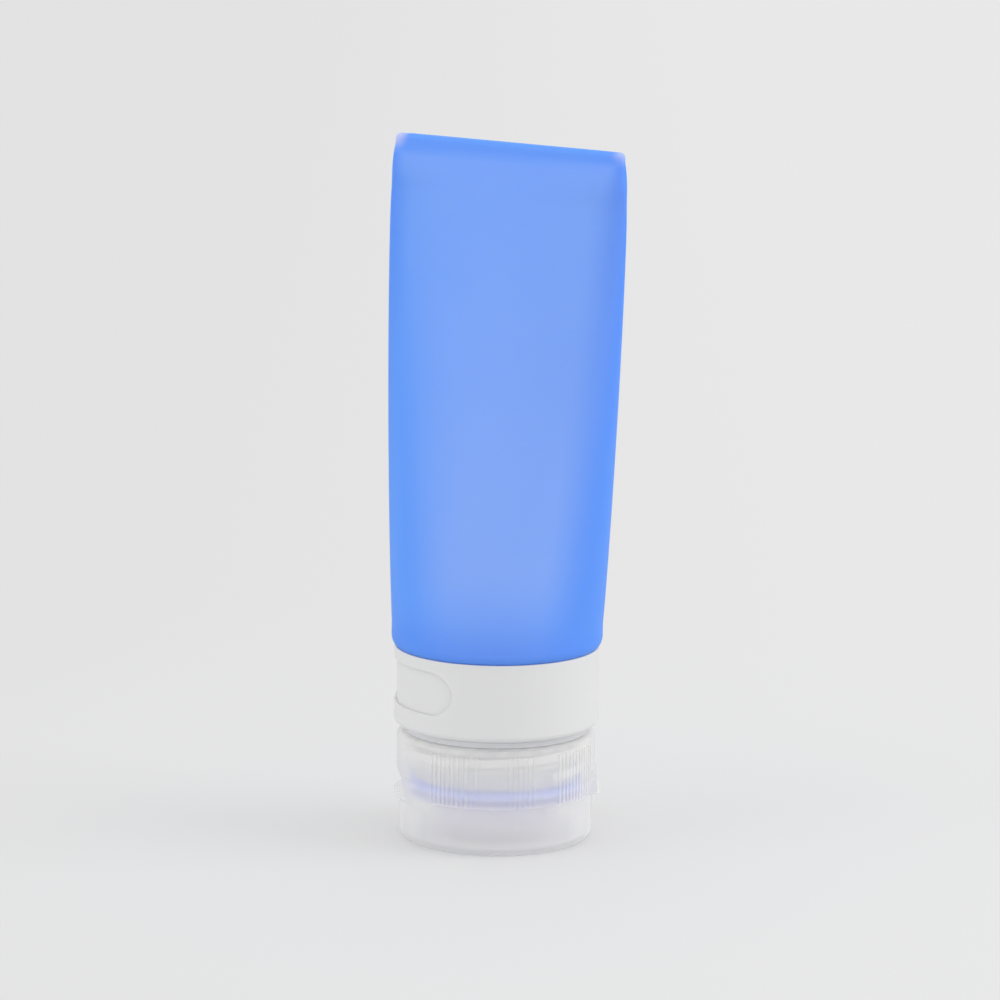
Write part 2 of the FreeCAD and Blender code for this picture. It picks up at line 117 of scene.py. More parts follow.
eye = place_camera()
scene = bpy.context.scene
scene.camera = eye
scene.view_settings.view_transform = "Standard"
scene.cycles.max_bounces = BOUNCES
scene.cycles.diffuse_bounces = MILKY_BOUNCES
scene.cycles.transmission_bounces = MILKY_BOUNCES
scene.cycles.transparent_max_bounces = CLEAR_BOUNCES
print("camera at, mm:", [round(v / MM) for v in eye.location])

# %% [markdown]
# ## Helpers for nodes
#
# Every finish below is a small tree of shader nodes. One helper adds a node and fills its
# sockets, each with a plain value or with what another node gives, so a tree reads from
# its sources down to its surface.

# %% Node helpers
def feed(tree, socket, given):
    """Fills a socket from a node's first output, from an output, or with a plain value."""
    if isinstance(given, bpy.types.Node):
        given = given.outputs[0]
    if isinstance(given, bpy.types.NodeSocket):
        tree.links.new(given, socket)
    else:
        socket.default_value = given


def add_node(tree, kind, inputs=None, **settings):
    """A node of a kind, with its settings and what fills its sockets, by name or number."""
    node = tree.nodes.new(kind)
    for name, setting in settings.items():
        setattr(node, name, setting)
    for key, given in (inputs or {}).items():
        feed(tree, node.inputs[key], given)
    return node


def new_material(name):
    """An empty node material and its tree."""
    material = bpy.data.materials.new(name)
    material.use_nodes = True
    material.node_tree.nodes.clear()
    return material, material.node_tree


def show(tree, shader):
    """Makes a shader the surface of its material."""
    add_node(tree, "ShaderNodeOutputMaterial", {"Surface": shader})


def rgba(red, green, blue):
    """An opaque colour for a socket."""
    return (red, green, blue, 1.0)


def grey(level):
    """An opaque colour of three equal parts."""
    return rgba(level, level, level)


print("node helpers ready")

# %% [markdown]
# The next helpers are the steps that several finishes share: what a point knows of itself,
# how a value is turned into another, and how two looks are mixed by a share.

# %% Steps that finishes share
# A Mix node has sockets for each kind of value. These are the numbers of the colours' own.
MIX_FIRST = 6
MIX_SECOND = 7
MIX_RESULT = 2


def object_place(tree):
    """The place of a point in the object's own frame, in metres."""
    return add_node(tree, "ShaderNodeTexCoord").outputs["Object"]


def height_of(tree, place):
    """The third coordinate of a place."""
    return add_node(tree, "ShaderNodeSeparateXYZ", {0: place}).outputs["Z"]


def eye_angle(tree):
    """0 where the surface faces the eye, and 1 where the eye looks along it."""
    return add_node(tree, "ShaderNodeLayerWeight").outputs["Facing"]


def attribute(tree, name):
    """One of the shares that a mesh carries for its finish."""
    return add_node(tree, "ShaderNodeAttribute", attribute_name=name).outputs["Fac"]


def ramp(tree, source, low, high, start=0.0, end=1.0, kind="LINEAR"):
    """A value that goes from start to end as the source goes from low to high."""
    return add_node(tree, "ShaderNodeMapRange", {
        "Value": source, "From Min": low, "From Max": high, "To Min": start, "To Max": end,
    }, interpolation_type=kind).outputs["Result"]


def product(tree, first, second):
    """Two values multiplied."""
    return add_node(tree, "ShaderNodeMath", {0: first, 1: second}, operation="MULTIPLY")


def noise(tree, place, scale, detail):
    """Soft clouds, about as many to a metre as the scale says."""
    return add_node(tree, "ShaderNodeTexNoise", {"Vector": place, "Scale": scale, "Detail": detail})


def relief(tree, place, scale, detail, strength, depth):
    """A faint unevenness of the surface: it tilts as if soft clouds were raised on it."""
    return add_node(tree, "ShaderNodeBump", {
        "Height": noise(tree, place, scale, detail),
        "Strength": strength,
        "Distance": depth,
    })


def colour_mix(tree, share, first, second):
    """A colour that goes from first to second by a share."""
    node = add_node(tree, "ShaderNodeMix", data_type="RGBA")
    feed(tree, node.inputs["Factor"], share)
    feed(tree, node.inputs[MIX_FIRST], first)
    feed(tree, node.inputs[MIX_SECOND], second)
    return node.outputs[MIX_RESULT]


def shader_mix(tree, share, first, second):
    """A shader that goes from first to second by a share."""
    return add_node(tree, "ShaderNodeMixShader", {"Fac": share, 1: first, 2: second})


def seen_ray(tree):
    """1 for a ray that shows something to the eye: straight, in a gloss or through glass."""
    rays = add_node(tree, "ShaderNodeLightPath")
    seen = rays.outputs["Is Camera Ray"]
    for kind in ("Is Glossy Ray", "Is Transmission Ray"):
        seen = add_node(tree, "ShaderNodeMath", {
            0: seen, 1: rays.outputs[kind],
        }, operation="MAXIMUM")
    return seen


print("shared steps ready")

# %% [markdown]
# ## Room light and lamps
#
# The picture is bright and nearly without shadow: a white room, a large soft lamp high on
# the right and a weaker one on the left. The world gives the even part of the light. What
# the eye sees of the world, directly, in a gloss or through clear plastic, is the pale
# grey of the backdrop, so that part has a level of its own. A modelled studio would light
# the bottle as well, but a few levels are easier to name and to change.

# %% World and lamps
ROOM_LEVEL = 0.97
BACKDROP_LEVEL = 0.79
KEY_LAMP = {"across": 1.5, "towards": 0.25, "height": 1.0, "size": 1.2, "power": 9.5}
FILL_LAMP = {"across": -1.5, "towards": 0.7, "height": 0.7, "size": 1.3, "power": 5.0}


def light_world():
    """Even room light, and the backdrop's own grey for rays that show it."""
    world = bpy.data.worlds.new("white_room")
    bpy.context.scene.world = world
    world.use_nodes = True
    tree = world.node_tree
    tree.nodes.clear()
    room, backdrop = (
        add_node(tree, "ShaderNodeBackground", {"Color": grey(1.0), "Strength": level})
        for level in (ROOM_LEVEL, BACKDROP_LEVEL)
    )
    add_node(tree, "ShaderNodeOutputWorld", {
        "Surface": shader_mix(tree, seen_ray(tree), room, backdrop),
    })


def soft_lamp(name, across, towards, height, size, power):
    """A square lamp so far across to the camera's right, towards the camera and up from the
    floor, aimed at the bottle."""
    lamp = bpy.data.lights.new(name, "AREA")
    lamp.shape = "SQUARE"
    lamp.size = size
    lamp.energy = power
    near = np.array([camera_back[0], camera_back[1], 0]) / np.cos(ELEVATION)
    place = camera_right * across + near * towards + np.array([0, 0, height])
    away = place - aim
    away = away / np.linalg.norm(away)
    side = np.cross([0, 0, 1], away)
    side = side / np.linalg.norm(side)
    return stand(name, lamp, side, np.cross(away, side), away, place)


light_world()
lamps = [soft_lamp("key_lamp", **KEY_LAMP), soft_lamp("fill_lamp", **FILL_LAMP)]
print("lamps:", [lamp.name for lamp in lamps])

# %% [markdown]
# ## Helpers for meshes
#
# Each new piece is a grid of points worked out as whole arrays. The points go into a mesh
# as they are, and the faces are quads between neighbouring rows of the grid. The object
# stays at the origin, as the frame's own pieces do.

# %% Mesh helpers
def link_mesh(name, points, faces, smooth=True):
    """A mesh object at the origin from whole arrays of points and faces."""
    mesh = bpy.data.meshes.new(name)
    mesh.from_pydata(points.reshape(-1, 3).tolist(), [], faces)
    mesh.polygons.foreach_set("use_smooth", np.full(len(mesh.polygons), smooth))
    mesh.update()
    piece = bpy.data.objects.new(name, mesh)
    bpy.context.scene.collection.objects.link(piece)
    return piece


def full_turn(columns):
    """One row of angles, evenly round a circle."""
    return np.linspace(0, 2 * np.pi, columns, endpoint=False)[None, :]


def point_numbers(row_count, columns):
    """The numbers of a grid's points, row by row."""
    return np.arange(row_count * columns).reshape(row_count, columns)


def ring_quads(index, column_first=False):
    """Quads between neighbouring rows of point numbers, whose columns close into rings. The
    corners run along the row first or along the column first, which turns a face over."""
    beside = np.roll(index, -1, axis=1)
    corners = [index[:-1], beside[:-1], beside[1:], index[1:]]
    if column_first:
        corners = [index[:-1], index[1:], beside[1:], beside[:-1]]
    return np.stack(corners, -1).reshape(-1, 4)


def smooth_step(values, low, high):
    """0 below low, 1 above high, and 3s^2 - 2s^3 of the share s between them."""
    share = np.clip((values - low) / (high - low), 0, 1)
    return share * share * (3 - 2 * share)


print("mesh helpers ready")

# %% [markdown]
# ## The floor
#
# The bottle stands on a matt pale board that runs out of the picture. A flat disc is
# enough for that, and it stays plain: its colour is the grey of the picture's ground, with
# painted light that makes it a little brighter towards the large lamp, and the only mark on
# it is the soft shadow at the foot of the cap.

# %% Floor
FLOOR_REACH = 4.0
FLOOR_MIDDLE = 0.002
FLOOR_SPREAD = 1.5
FLOOR_RINGS = 12
FLOOR_SPOKES = 48
BOARD_GREY = grey(0.705)
FOOT_REACH = 30 * MM
EVEN_REACH = 260 * MM
FOOT_SHARE = 0.35
GROUND_HALF = 100 * MM
GROUND_LEFT = 0.765
GROUND_RIGHT = 0.81


def floor_disc():
    """Points at radius r and turn t lie at (r cos t, r sin t, 0), ring by ring."""
    radius = np.linspace(FLOOR_MIDDLE, 1, FLOOR_RINGS)[:, None] ** FLOOR_SPREAD * FLOOR_REACH
    turn = full_turn(FLOOR_SPOKES)
    points = np.stack([radius * np.cos(turn), radius * np.sin(turn), 0 * radius * turn], -1)
    index = point_numbers(FLOOR_RINGS, FLOOR_SPOKES)
    quads = ring_quads(index, column_first=True)
    return link_mesh("floor", points, quads.tolist() + [index[0].tolist()])


def board_finish():
    """Matt pale board. What the eye sees of it goes over to a grey of its own, a share of it
    at the bottle's foot and all of it further out. That grey is painted light: a little
    brighter towards the large lamp, on the camera's right."""
    material, tree = new_material("pale_board")
    place = object_place(tree)
    board = add_node(tree, "ShaderNodeBsdfPrincipled", {
        "Base Color": BOARD_GREY,
        "Roughness": 0.75,
        "Specular IOR Level": 0.2,
    })
    radius = add_node(tree, "ShaderNodeVectorMath", {0: place}, operation="LENGTH")
    even = ramp(
        tree, radius.outputs["Value"], FOOT_REACH, EVEN_REACH, start=FOOT_SHARE, kind="SMOOTHSTEP"
    )
    sideways = add_node(tree, "ShaderNodeVectorMath", {
        0: place, 1: camera_right.tolist(),
    }, operation="DOT_PRODUCT")
    level = ramp(
        tree, sideways.outputs["Value"], -GROUND_HALF, GROUND_HALF, GROUND_LEFT, GROUND_RIGHT
    )
    ground = add_node(tree, "ShaderNodeEmission", {"Strength": level})
    share = product(tree, seen_ray(tree), even)
    show(tree, shader_mix(tree, share, board, ground))
    return material


floor = floor_disc()
floor.data.materials.append(board_finish())
print("floor:", len(floor.data.polygons), "faces")

# %% [markdown]
# ## Blue silicone
#
# Silicone is dyed right through and lets some light in, so a wall looks paler where it is
# thin and deeper where more of it lies behind the surface: at the narrow sides, in the
# solid seam and in the rounded shoulder. Above the shoulder the foot is darkened further,
# as painted shade where the tube turns down away from the light. The tube's mesh carries
# shares for these, for the pale flash at the seam's corners and for a painted highlight: a
# dull white gloss, strongest where the surface faces the eye, that stands for the broad
# highlight of a lamp in front. The finish mixes its looks by them. A volume inside the wall
# would be the true way, but it takes long to render and is lost in an export. So a little
# subsurface light softens the edges, a share of light passes through, and a fine grain
# breaks up the gloss. The valve is silicone without the shares, so its painted highlight
# follows only how squarely it faces the eye. What shows of it through the cap is a flange
# above a paler drum.

# %% Silicone values
THIN_BLUE = rgba(0.138, 0.350, 1.0)
CLOUD_BLUE = rgba(0.126, 0.335, 0.985)
DEEP_AND_SHADE_BLUE = rgba(0.112, 0.292, 0.925)
SEAM_BLUE = rgba(0.126, 0.335, 0.965)
FLASH_BLUE = rgba(0.53, 0.56, 0.90)
SPECK_GREY = rgba(0.07, 0.14, 0.45)
FLANGE_BLUE = rgba(0.15, 0.29, 1.0)
DRUM_BLUE = rgba(0.92, 0.88, 0.99)
FLANGE_LOW = 10.6 * MM
FLANGE_HIGH = 11.1 * MM
CLOUDS = {"scale": 45.0, "detail": 2.0}
CLOUD_LOW = 0.3
CLOUD_HIGH = 0.75
GRAIN = {"scale": 2600.0, "detail": 2.0, "strength": 0.12, "depth": 0.05 * MM}
ROUGH_LEAST = 0.46
ROUGH_MOST = 0.60
THROUGH_SILICONE = 0.06
HIGHLIGHT_FACING = 0.125
HIGHLIGHT_GONE = 0.48
# Space is divided into cells, each with a random number of its own. A speck sits in the
# middle of those with the highest numbers, about one in twelve. It shows only where the
# skin happens to cut through it, which is rare. Its rim and its core are distances from the
# middle, in cells.
SPECK_CELLS = 110.0
SPECK_RIM = 0.028
SPECK_CORE = 0.016
SPECK_FROM = 0.90
SPECK_FULL = 0.93
print("silicone: bloom", HIGHLIGHT_FACING, "and light through", THROUGH_SILICONE)


# %% Silicone finishes
def silicone_surface(tree, colour, inner_colour, clouds, highlight_share=None, normal=None):
    """Dyed silicone: a soft surface and a share that lets light through, under a painted
    highlight, a dull white gloss that fades where the surface turns away from the eye."""
    dyed = add_node(tree, "ShaderNodeBsdfPrincipled", {
        "Base Color": colour,
        "Roughness": ramp(tree, clouds, 0.0, 1.0, ROUGH_LEAST, ROUGH_MOST),
        "Subsurface Weight": 0.35,
        "Subsurface Radius": (0.35, 0.6, 1.0),
        "Subsurface Scale": 2.5 * MM,
        "Specular IOR Level": 0.08,
    })
    if normal is not None:
        feed(tree, dyed.inputs["Normal"], normal)
    through = add_node(tree, "ShaderNodeBsdfTranslucent", {"Color": inner_colour})
    highlight_white = add_node(tree, "ShaderNodeBsdfPrincipled", {
        "Base Color": grey(1.0),
        "Metallic": 1.0,
        "Roughness": 0.7,
    })
    # Painted highlight: the white gloss is strongest where the surface faces the eye, and a mesh
    # share can weaken it.
    highlight = ramp(tree, eye_angle(tree), 0.0, HIGHLIGHT_GONE, HIGHLIGHT_FACING, 0.0, "SMOOTHSTEP")
    if highlight_share is not None:
        highlight = product(tree, highlight, highlight_share)
    body = shader_mix(tree, THROUGH_SILICONE, dyed, through)
    return shader_mix(tree, highlight, body, highlight_white)


def tube_finish():
    """The tube's silicone: clouded blue, its depth and the painted shade at its foot by the
    mesh's shares, a painted highlight by another, rare dark specks in it and a fine grain on it."""
    material, tree = new_material("blue_silicone_tube")
    place = object_place(tree)
    clouds = noise(tree, place, **CLOUDS)
    mottle = ramp(tree, clouds, CLOUD_LOW, CLOUD_HIGH)
    colour = colour_mix(tree, mottle, CLOUD_BLUE, THIN_BLUE)
    # The depth-and-shade share deepens the narrow sides, where more dye lies behind the surface,
    # and darkens the foot as painted shade.
    for name, blue in (
        ("depth_and_shade_share", DEEP_AND_SHADE_BLUE),
        ("solid_share", SEAM_BLUE),
        ("flash_share", FLASH_BLUE),
    ):
        colour = colour_mix(tree, attribute(tree, name), colour, blue)
    cells = add_node(tree, "ShaderNodeTexVoronoi", {
        "Vector": place, "Scale": SPECK_CELLS, "Randomness": 1.0,
    })
    spot = ramp(tree, cells.outputs["Distance"], SPECK_RIM, SPECK_CORE)
    chosen = add_node(tree, "ShaderNodeSeparateColor", {0: cells.outputs["Color"]})
    rare = ramp(tree, chosen, SPECK_FROM, SPECK_FULL)
    specked = colour_mix(tree, product(tree, spot, rare), colour, SPECK_GREY)
    highlight_share = attribute(tree, "highlight_share")
    grain = relief(tree, place, **GRAIN)
    show(tree, silicone_surface(tree, specked, colour, clouds, highlight_share, grain))
    return material


def valve_finish():
    """The valve's silicone: a deep blue flange above a paler drum."""
    material, tree = new_material("blue_silicone_valve")
    place = object_place(tree)
    flange = ramp(tree, height_of(tree, place), FLANGE_LOW, FLANGE_HIGH)
    colour = colour_mix(tree, flange, DRUM_BLUE, FLANGE_BLUE)
    clouds = noise(tree, place, **CLOUDS)
    show(tree, silicone_surface(tree, colour, colour, clouds))
    return material


tube_silicone = tube_finish()
valve_silicone = valve_finish()
print("finishes:", tube_silicone.name, valve_silicone.name)

# %% [markdown]
# ## The tube
#
# The tube is moulded round at the mouth and pressed flat and solid at the far end. Between
# them its section is an oval that grows wider and thinner at once. One grid makes the
# whole skin: its rows run from the hidden top of the cavity down the inside, round the
# mouth and up the outside to the top edge, and its columns go once round the tube. A
# cloth simulation would only blur a shape this exact, so each row is worked out by formula.
# The frame gives the tube's height, width and radius. The rest are its walls, its corners
# and the laws of its oval. The solid follows the same laws, with a plainer shoulder.

# %% Tube sizes
tube_low, tube_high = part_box("tube_body")
MOUTH_LOW = tube_low.z
TUBE_TOP = tube_high.z
TUBE_RADIUS = tube_high.y
BELLY_HALF = tube_high.x
RING_CLEARANCE = 0.05 * MM
SHOULDER_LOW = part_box("label_ring")[1].z + RING_CLEARANCE
TUBE_WALL = 2.0 * MM
SHOULDER_ROUND = 2.4 * MM
SHOULDER_FULLNESS = 0.7
SHOULDER_HEIGHT = 5.0 * MM
SKIRT_RADIUS = 17.35 * MM
SKIRT_BORE = 15.55 * MM
CAVITY_ROUND = 0.6 * MM
BORE_ROUND = 0.5 * MM
SEAM_HALF = TUBE_RADIUS + 3.6 * MM
SEAM_THICK = 3.2 * MM
SEAM_BAND = 3.6 * MM
EDGE_ROUND = 1.0 * MM
BELLY_SHARE = 0.86
SWELL_POWER = 1.6
TAPER_POWER = 1.3
CAVITY_SHARE = 0.965
SQUARE_FROM = 0.90
SEAM_SQUARENESS = 5.0
LOFT_LOW = SHOULDER_LOW + SHOULDER_HEIGHT
LOFT_RISE = TUBE_TOP - SEAM_BAND / 2 - LOFT_LOW
COLUMNS = 256
INNER_ROWS = 56
OUTER_ROWS = 84
CORNER_ROWS = 10
EDGE_ROWS = 9
print("tube from", round(MOUTH_LOW / MM, 1), "to", round(TUBE_TOP / MM, 1), "mm")

# %% [markdown]
# The rows come first. Each row is four numbers: half the width, half the depth, the level,
# and how square its oval is. The body follows power laws, the corners follow arcs, and the
# first and the last row have no depth, so the skin ends there in a fold.

# %% Tube rows
# A row times this keeps its width and level and has no depth.
FOLD = np.array([1, 0, 1, 1])


def rows(half_width, half_depth, level, squareness=2.0):
    """One row per entry: half width, half depth, level and squareness of the section."""
    return np.stack(np.broadcast_arrays(half_width, half_depth, level, squareness), -1)


def loft_rows(shares, wall):
    """The oval body: half width swells by a power law to the belly and eases back to the
    seam by a square law, half depth falls by a power of the share, and the ellipse turns
    into a squarer oval over the last tenth."""
    swell = 1 - (1 - np.minimum(shares / BELLY_SHARE, 1)) ** SWELL_POWER
    ease = np.clip((shares - BELLY_SHARE) / (1 - BELLY_SHARE), 0, 1) ** 2
    wide = TUBE_RADIUS + (BELLY_HALF - TUBE_RADIUS) * swell - (BELLY_HALF - SEAM_HALF) * ease
    deep = TUBE_RADIUS - (TUBE_RADIUS - SEAM_THICK / 2) * shares ** TAPER_POWER
    square = 2 + (SEAM_SQUARENESS - 2) * smooth_step(shares, SQUARE_FROM, 1.0)
    return rows(wide - wall, deep - wall, LOFT_LOW + LOFT_RISE * shares, square)


def mouth_rows():
    """The round rows inside the mouth: the cavity's corner, then the bore's corner."""
    cavity = TUBE_RADIUS - TUBE_WALL
    cavity_low = SHOULDER_LOW + TUBE_WALL
    radius = np.array([
        cavity, cavity - CAVITY_ROUND, SKIRT_BORE + BORE_ROUND, SKIRT_BORE, SKIRT_BORE,
    ])
    level = np.array([
        cavity_low + CAVITY_ROUND, cavity_low, cavity_low, cavity_low - BORE_ROUND, MOUTH_LOW,
    ])
    return rows(radius, radius, level)


def shoulder_rows():
    """The skirt outside the mouth, and the shoulder's corner: a quarter turn c at radius
    r cos^f c and height r sin c, where an f below one makes the corner fuller."""
    skirt = rows(SKIRT_RADIUS, SKIRT_RADIUS, np.array([MOUTH_LOW, SHOULDER_LOW]))
    corner = np.radians(np.linspace(-90, 0, CORNER_ROWS))
    radius = TUBE_RADIUS - SHOULDER_ROUND + SHOULDER_ROUND * np.cos(corner) ** SHOULDER_FULLNESS
    level = SHOULDER_LOW + SHOULDER_ROUND + SHOULDER_ROUND * np.sin(corner)
    return np.concatenate([skirt, rows(radius, radius, level)])


def top_rows():
    """The rounded top edge of the seam: a quarter turn at the edge's radius."""
    edge = np.radians(np.linspace(0, 90, EDGE_ROWS))
    inset = EDGE_ROUND * (1 - np.cos(edge))
    level = TUBE_TOP - EDGE_ROUND + EDGE_ROUND * np.sin(edge)
    return rows(SEAM_HALF - inset, SEAM_THICK / 2 - inset, level, SEAM_SQUARENESS)


def tube_rows():
    """All rows from the top of the cavity, round the mouth, to the top edge."""
    inner = loft_rows(np.linspace(CAVITY_SHARE, 0, INNER_ROWS), TUBE_WALL)
    outer = loft_rows(np.linspace(0, 1, OUTER_ROWS), 0)
    top = top_rows()
    return np.concatenate([
        inner[:1] * FOLD, inner, mouth_rows(), shoulder_rows(), outer, top, top[-1:] * FOLD,
    ])


tube_sections = tube_rows()
outer_start = int(np.argmax(tube_sections[:, 0] == SKIRT_RADIUS))
print("tube rows:", len(tube_sections), "of which outside:", len(tube_sections) - outer_start)

# %% [markdown]
# Then each row becomes a ring of points on its oval, which grows squarer near the seam.
# A soft tube that stands on its cap sags a little to one side, so the whole skin leans. The
# folded ends share their points across the fold, which closes the skin without a slit.

# %% Tube skin
LEAN = 1.1 * MM
BEND = 0.5 * MM
LEAN_WAY = np.radians(25.0)
LEAN_EASE = 0.15


def oval_points(sections, columns):
    """A point at turn u of a row lies at half width times |cos u|^(2/n) and half depth
    times |sin u|^(2/n), with the signs of cos u and sin u, where n is the squareness."""
    turn = full_turn(columns)
    wide, deep, level, square = (sections[:, i, None] for i in range(4))
    across = wide * np.sign(np.cos(turn)) * np.abs(np.cos(turn)) ** (2 / square)
    along = deep * np.sign(np.sin(turn)) * np.abs(np.sin(turn)) ** (2 / square)
    return np.stack([across, along, level + 0 * turn], -1)


def leaning(points):
    """The soft tube leans: with s the share of the height above the shoulder, its axis
    shifts along one way by the lean times s plus the bend times s squared. Each section
    stays square to the axis, so a point that way from it sinks by the axis's slope."""
    span = TUBE_TOP - SHOULDER_LOW
    share = np.clip((points[..., 2] - SHOULDER_LOW) / span, 0, 1)
    shift = LEAN * share + BEND * share ** 2
    slope = (LEAN + 2 * BEND * share) / span * smooth_step(share, 0, LEAN_EASE)
    way = np.array([np.cos(LEAN_WAY), np.sin(LEAN_WAY), 0])
    drop = slope * (points @ way)
    return points + shift[..., None] * way - drop[..., None] * np.array([0, 0, 1])


def folded_faces(row_count, columns):
    """Quads between neighbouring rows. The first and the last row are folded flat, so a
    column there shares its points with its mirror column across the fold."""
    index = point_numbers(row_count, columns)
    mirror = (-np.arange(columns)) % columns
    half = np.minimum(np.arange(columns), mirror)
    index[0] = index[0][half]
    index[-1] = index[-1][half]
    return ring_quads(index)


def silicone_tube():
    """The whole skin of the tube as one closed grid, without the points that no face uses,
    and the grid places of the points that are left."""
    points = leaning(oval_points(tube_sections, COLUMNS)).reshape(-1, 3)
    faces = folded_faces(len(tube_sections), COLUMNS)
    used, renumbered = np.unique(faces, return_inverse=True)
    skin = link_mesh("silicone_tube", points[used], renumbered.reshape(faces.shape).tolist())
    return skin, used


tube, tube_points = silicone_tube()
tube.data.materials.append(tube_silicone)
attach(tube, "bottle")
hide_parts("tube_body")
print("tube faces:", len(tube.data.polygons))

# %% [markdown]
# Last come the shares that the silicone's finish reads. They are worked out on the same
# grid as the points, so they follow the moulded form: the narrow sides and the foot, whose
# darkening is painted shade, the solid band below the top edge, the pale flash at the band's
# two corners, and the painted highlight, which is weak at the foot, on the narrow sides and
# in the band, and less towards the top.

# %% Tube shares
SIDE_FROM = 0.72
SIDE_SHADE = 0.6
SIDE_GAIN = 0.3
FOOT_SHADE = 0.9
FOOT_HEIGHT = 12 * MM
BAND_HEIGHT = 3.6 * MM
BAND_TILT = 0.7 * MM
BAND_BLUR = 1.2 * MM
LEFT_FLASH = {"strength": 1.0, "full": 0.68 * MM, "gone": 3.74 * MM}
RIGHT_FLASH = {"strength": 0.6, "full": 0.34 * MM, "gone": 2.72 * MM}
HIGHLIGHT_LOW = SHOULDER_LOW - 1 * MM
HIGHLIGHT_HIGH = SHOULDER_LOW + 20 * MM
HIGHLIGHT_AT_FOOT = 0.2
HIGHLIGHT_LOST_IN_BAND = 0.65
HIGHLIGHT_LOST_AT_SIDES = 0.6
HIGHLIGHT_LOW_FRONT = 1.1
HIGHLIGHT_FRONT_FALL = 0.4


def tube_shares():
    """Four shares by name, each from 0 to about 1 for every point of the grid."""
    turn = full_turn(COLUMNS)
    level = tube_sections[:, 2, None] + 0 * turn
    across = oval_points(tube_sections, COLUMNS)[..., 0]
    height = smooth_step(level, LOFT_LOW, TUBE_TOP)
    narrow = smooth_step(np.abs(np.cos(turn)), SIDE_FROM, 1.0)
    side = narrow * (SIDE_SHADE + SIDE_GAIN * height)
    # Painted shade: the lowest part above the shoulder is darkened where the tube turns down away
    # from the light.
    foot = FOOT_SHADE * (1 - smooth_step(level, SHOULDER_LOW, SHOULDER_LOW + FOOT_HEIGHT))
    band_low = TUBE_TOP - (BAND_HEIGHT - BAND_TILT * np.cos(turn))
    solid = smooth_step(level, band_low, band_low + BAND_BLUR)
    from_corner = np.hypot(SEAM_HALF - np.abs(across), TUBE_TOP - level)
    flash = 0
    for this_side, corner in ((across < 0, LEFT_FLASH), (across > 0, RIGHT_FLASH)):
        near = 1 - smooth_step(from_corner, corner["full"], corner["gone"])
        flash = flash + corner["strength"] * near * this_side
    # The painted highlight's share: weak at the foot, on the narrow sides and in the band, and less
    # towards the top.
    rise = HIGHLIGHT_AT_FOOT + (1 - HIGHLIGHT_AT_FOOT) * smooth_step(level, HIGHLIGHT_LOW, HIGHLIGHT_HIGH)
    front = (1 - HIGHLIGHT_LOST_IN_BAND * solid) * (1 - HIGHLIGHT_LOST_AT_SIDES * narrow)
    return {
        "depth_and_shade_share": np.maximum(side, foot),
        "highlight_share": front * rise * (HIGHLIGHT_LOW_FRONT - HIGHLIGHT_FRONT_FALL * height),
        "solid_share": solid,
        "flash_share": flash,
    }


for name, share in tube_shares().items():
    layer = tube.data.attributes.new(name, "FLOAT", "POINT")
    layer.data.foreach_set("value", share.reshape(-1)[tube_points].astype(np.float32))
    print(name, "from", round(float(share.min()), 2), "to", round(float(share.max()), 2))

# %% [markdown]
# ## White and milky plastic
#
# The collar and the ring inside it are moulded in plain white plastic with a soft gloss.
# The cap, the lid and the neck insert are natural polypropylene, which is milky: part of
# the light scatters in the wall, and part goes through, so the blue valve shows as a
# violet band. A refracting shader would be truer, but a ray would have to bend through a
# dozen walls, and lamps hardly reach what lies behind them. Mixing a scattering surface
# with a clear one is plainer and lets their light through. Where the eye looks along a
# wall it looks through more plastic, so the haze thickens there, and a soft gloss mirrors
# the grey room, which draws the outline of a clear piece against a pale ground.

# %% Plastic values
WHITE_PLASTIC = grey(0.71)
WHITE_WAVES = {"scale": 160.0, "detail": 1.0, "strength": 0.08, "depth": 0.05 * MM}
MILKY_WAVES = {"scale": 130.0, "detail": 2.0, "strength": 0.15, "depth": 0.06 * MM}
GLOSS_GREY = grey(0.80)
# Painted light: the lid and the cap are one plastic, but the lid's wall has less haze and a paler
# colour than the cap's skirt, which lifts it out of the shade near the floor.
LID_MILK = (0.29, rgba(1.0, 1.0, 0.975))
DECK_MILK = (0.47, rgba(1.0, 0.99, 1.0))
SKIRT_MILK = (0.38, rgba(0.97, 0.965, 0.945))
NECK_MILK = (0.94, grey(0.99))
THREAD_MILK = (0.80, grey(0.99))
DECK_LOW = 12.4 * MM
DECK_HIGH = 13.4 * MM
THROUGH_MILK = 0.35
# Where the eye looks along a wall, at eye angle 1, there is this much more haze, and this
# share of gloss. Both grow from the eye angles whose names end in FROM.
EDGE_HAZE = 0.3
EDGE_GLOSS = 0.5
EDGE_HAZE_FROM = 0.35
CAP_GLOSS_FROM = 0.5
LID_GLOSS_FROM = 0.83
print("milky walls, haze: lid", LID_MILK[0], "deck", DECK_MILK[0], "skirt", SKIRT_MILK[0])


# %% Plastic finishes
def white_finish():
    """White moulded plastic with a soft gloss and a faint waviness."""
    material, tree = new_material("white_plastic")
    show(tree, add_node(tree, "ShaderNodeBsdfPrincipled", {
        "Base Color": WHITE_PLASTIC,
        "Roughness": 0.38,
        "Specular IOR Level": 0.45,
        "Subsurface Weight": 0.2,
        "Subsurface Radius": (1.0, 1.0, 1.0),
        "Subsurface Scale": 1.0 * MM,
        "Normal": relief(tree, object_place(tree), **WHITE_WAVES),
    }))
    return material


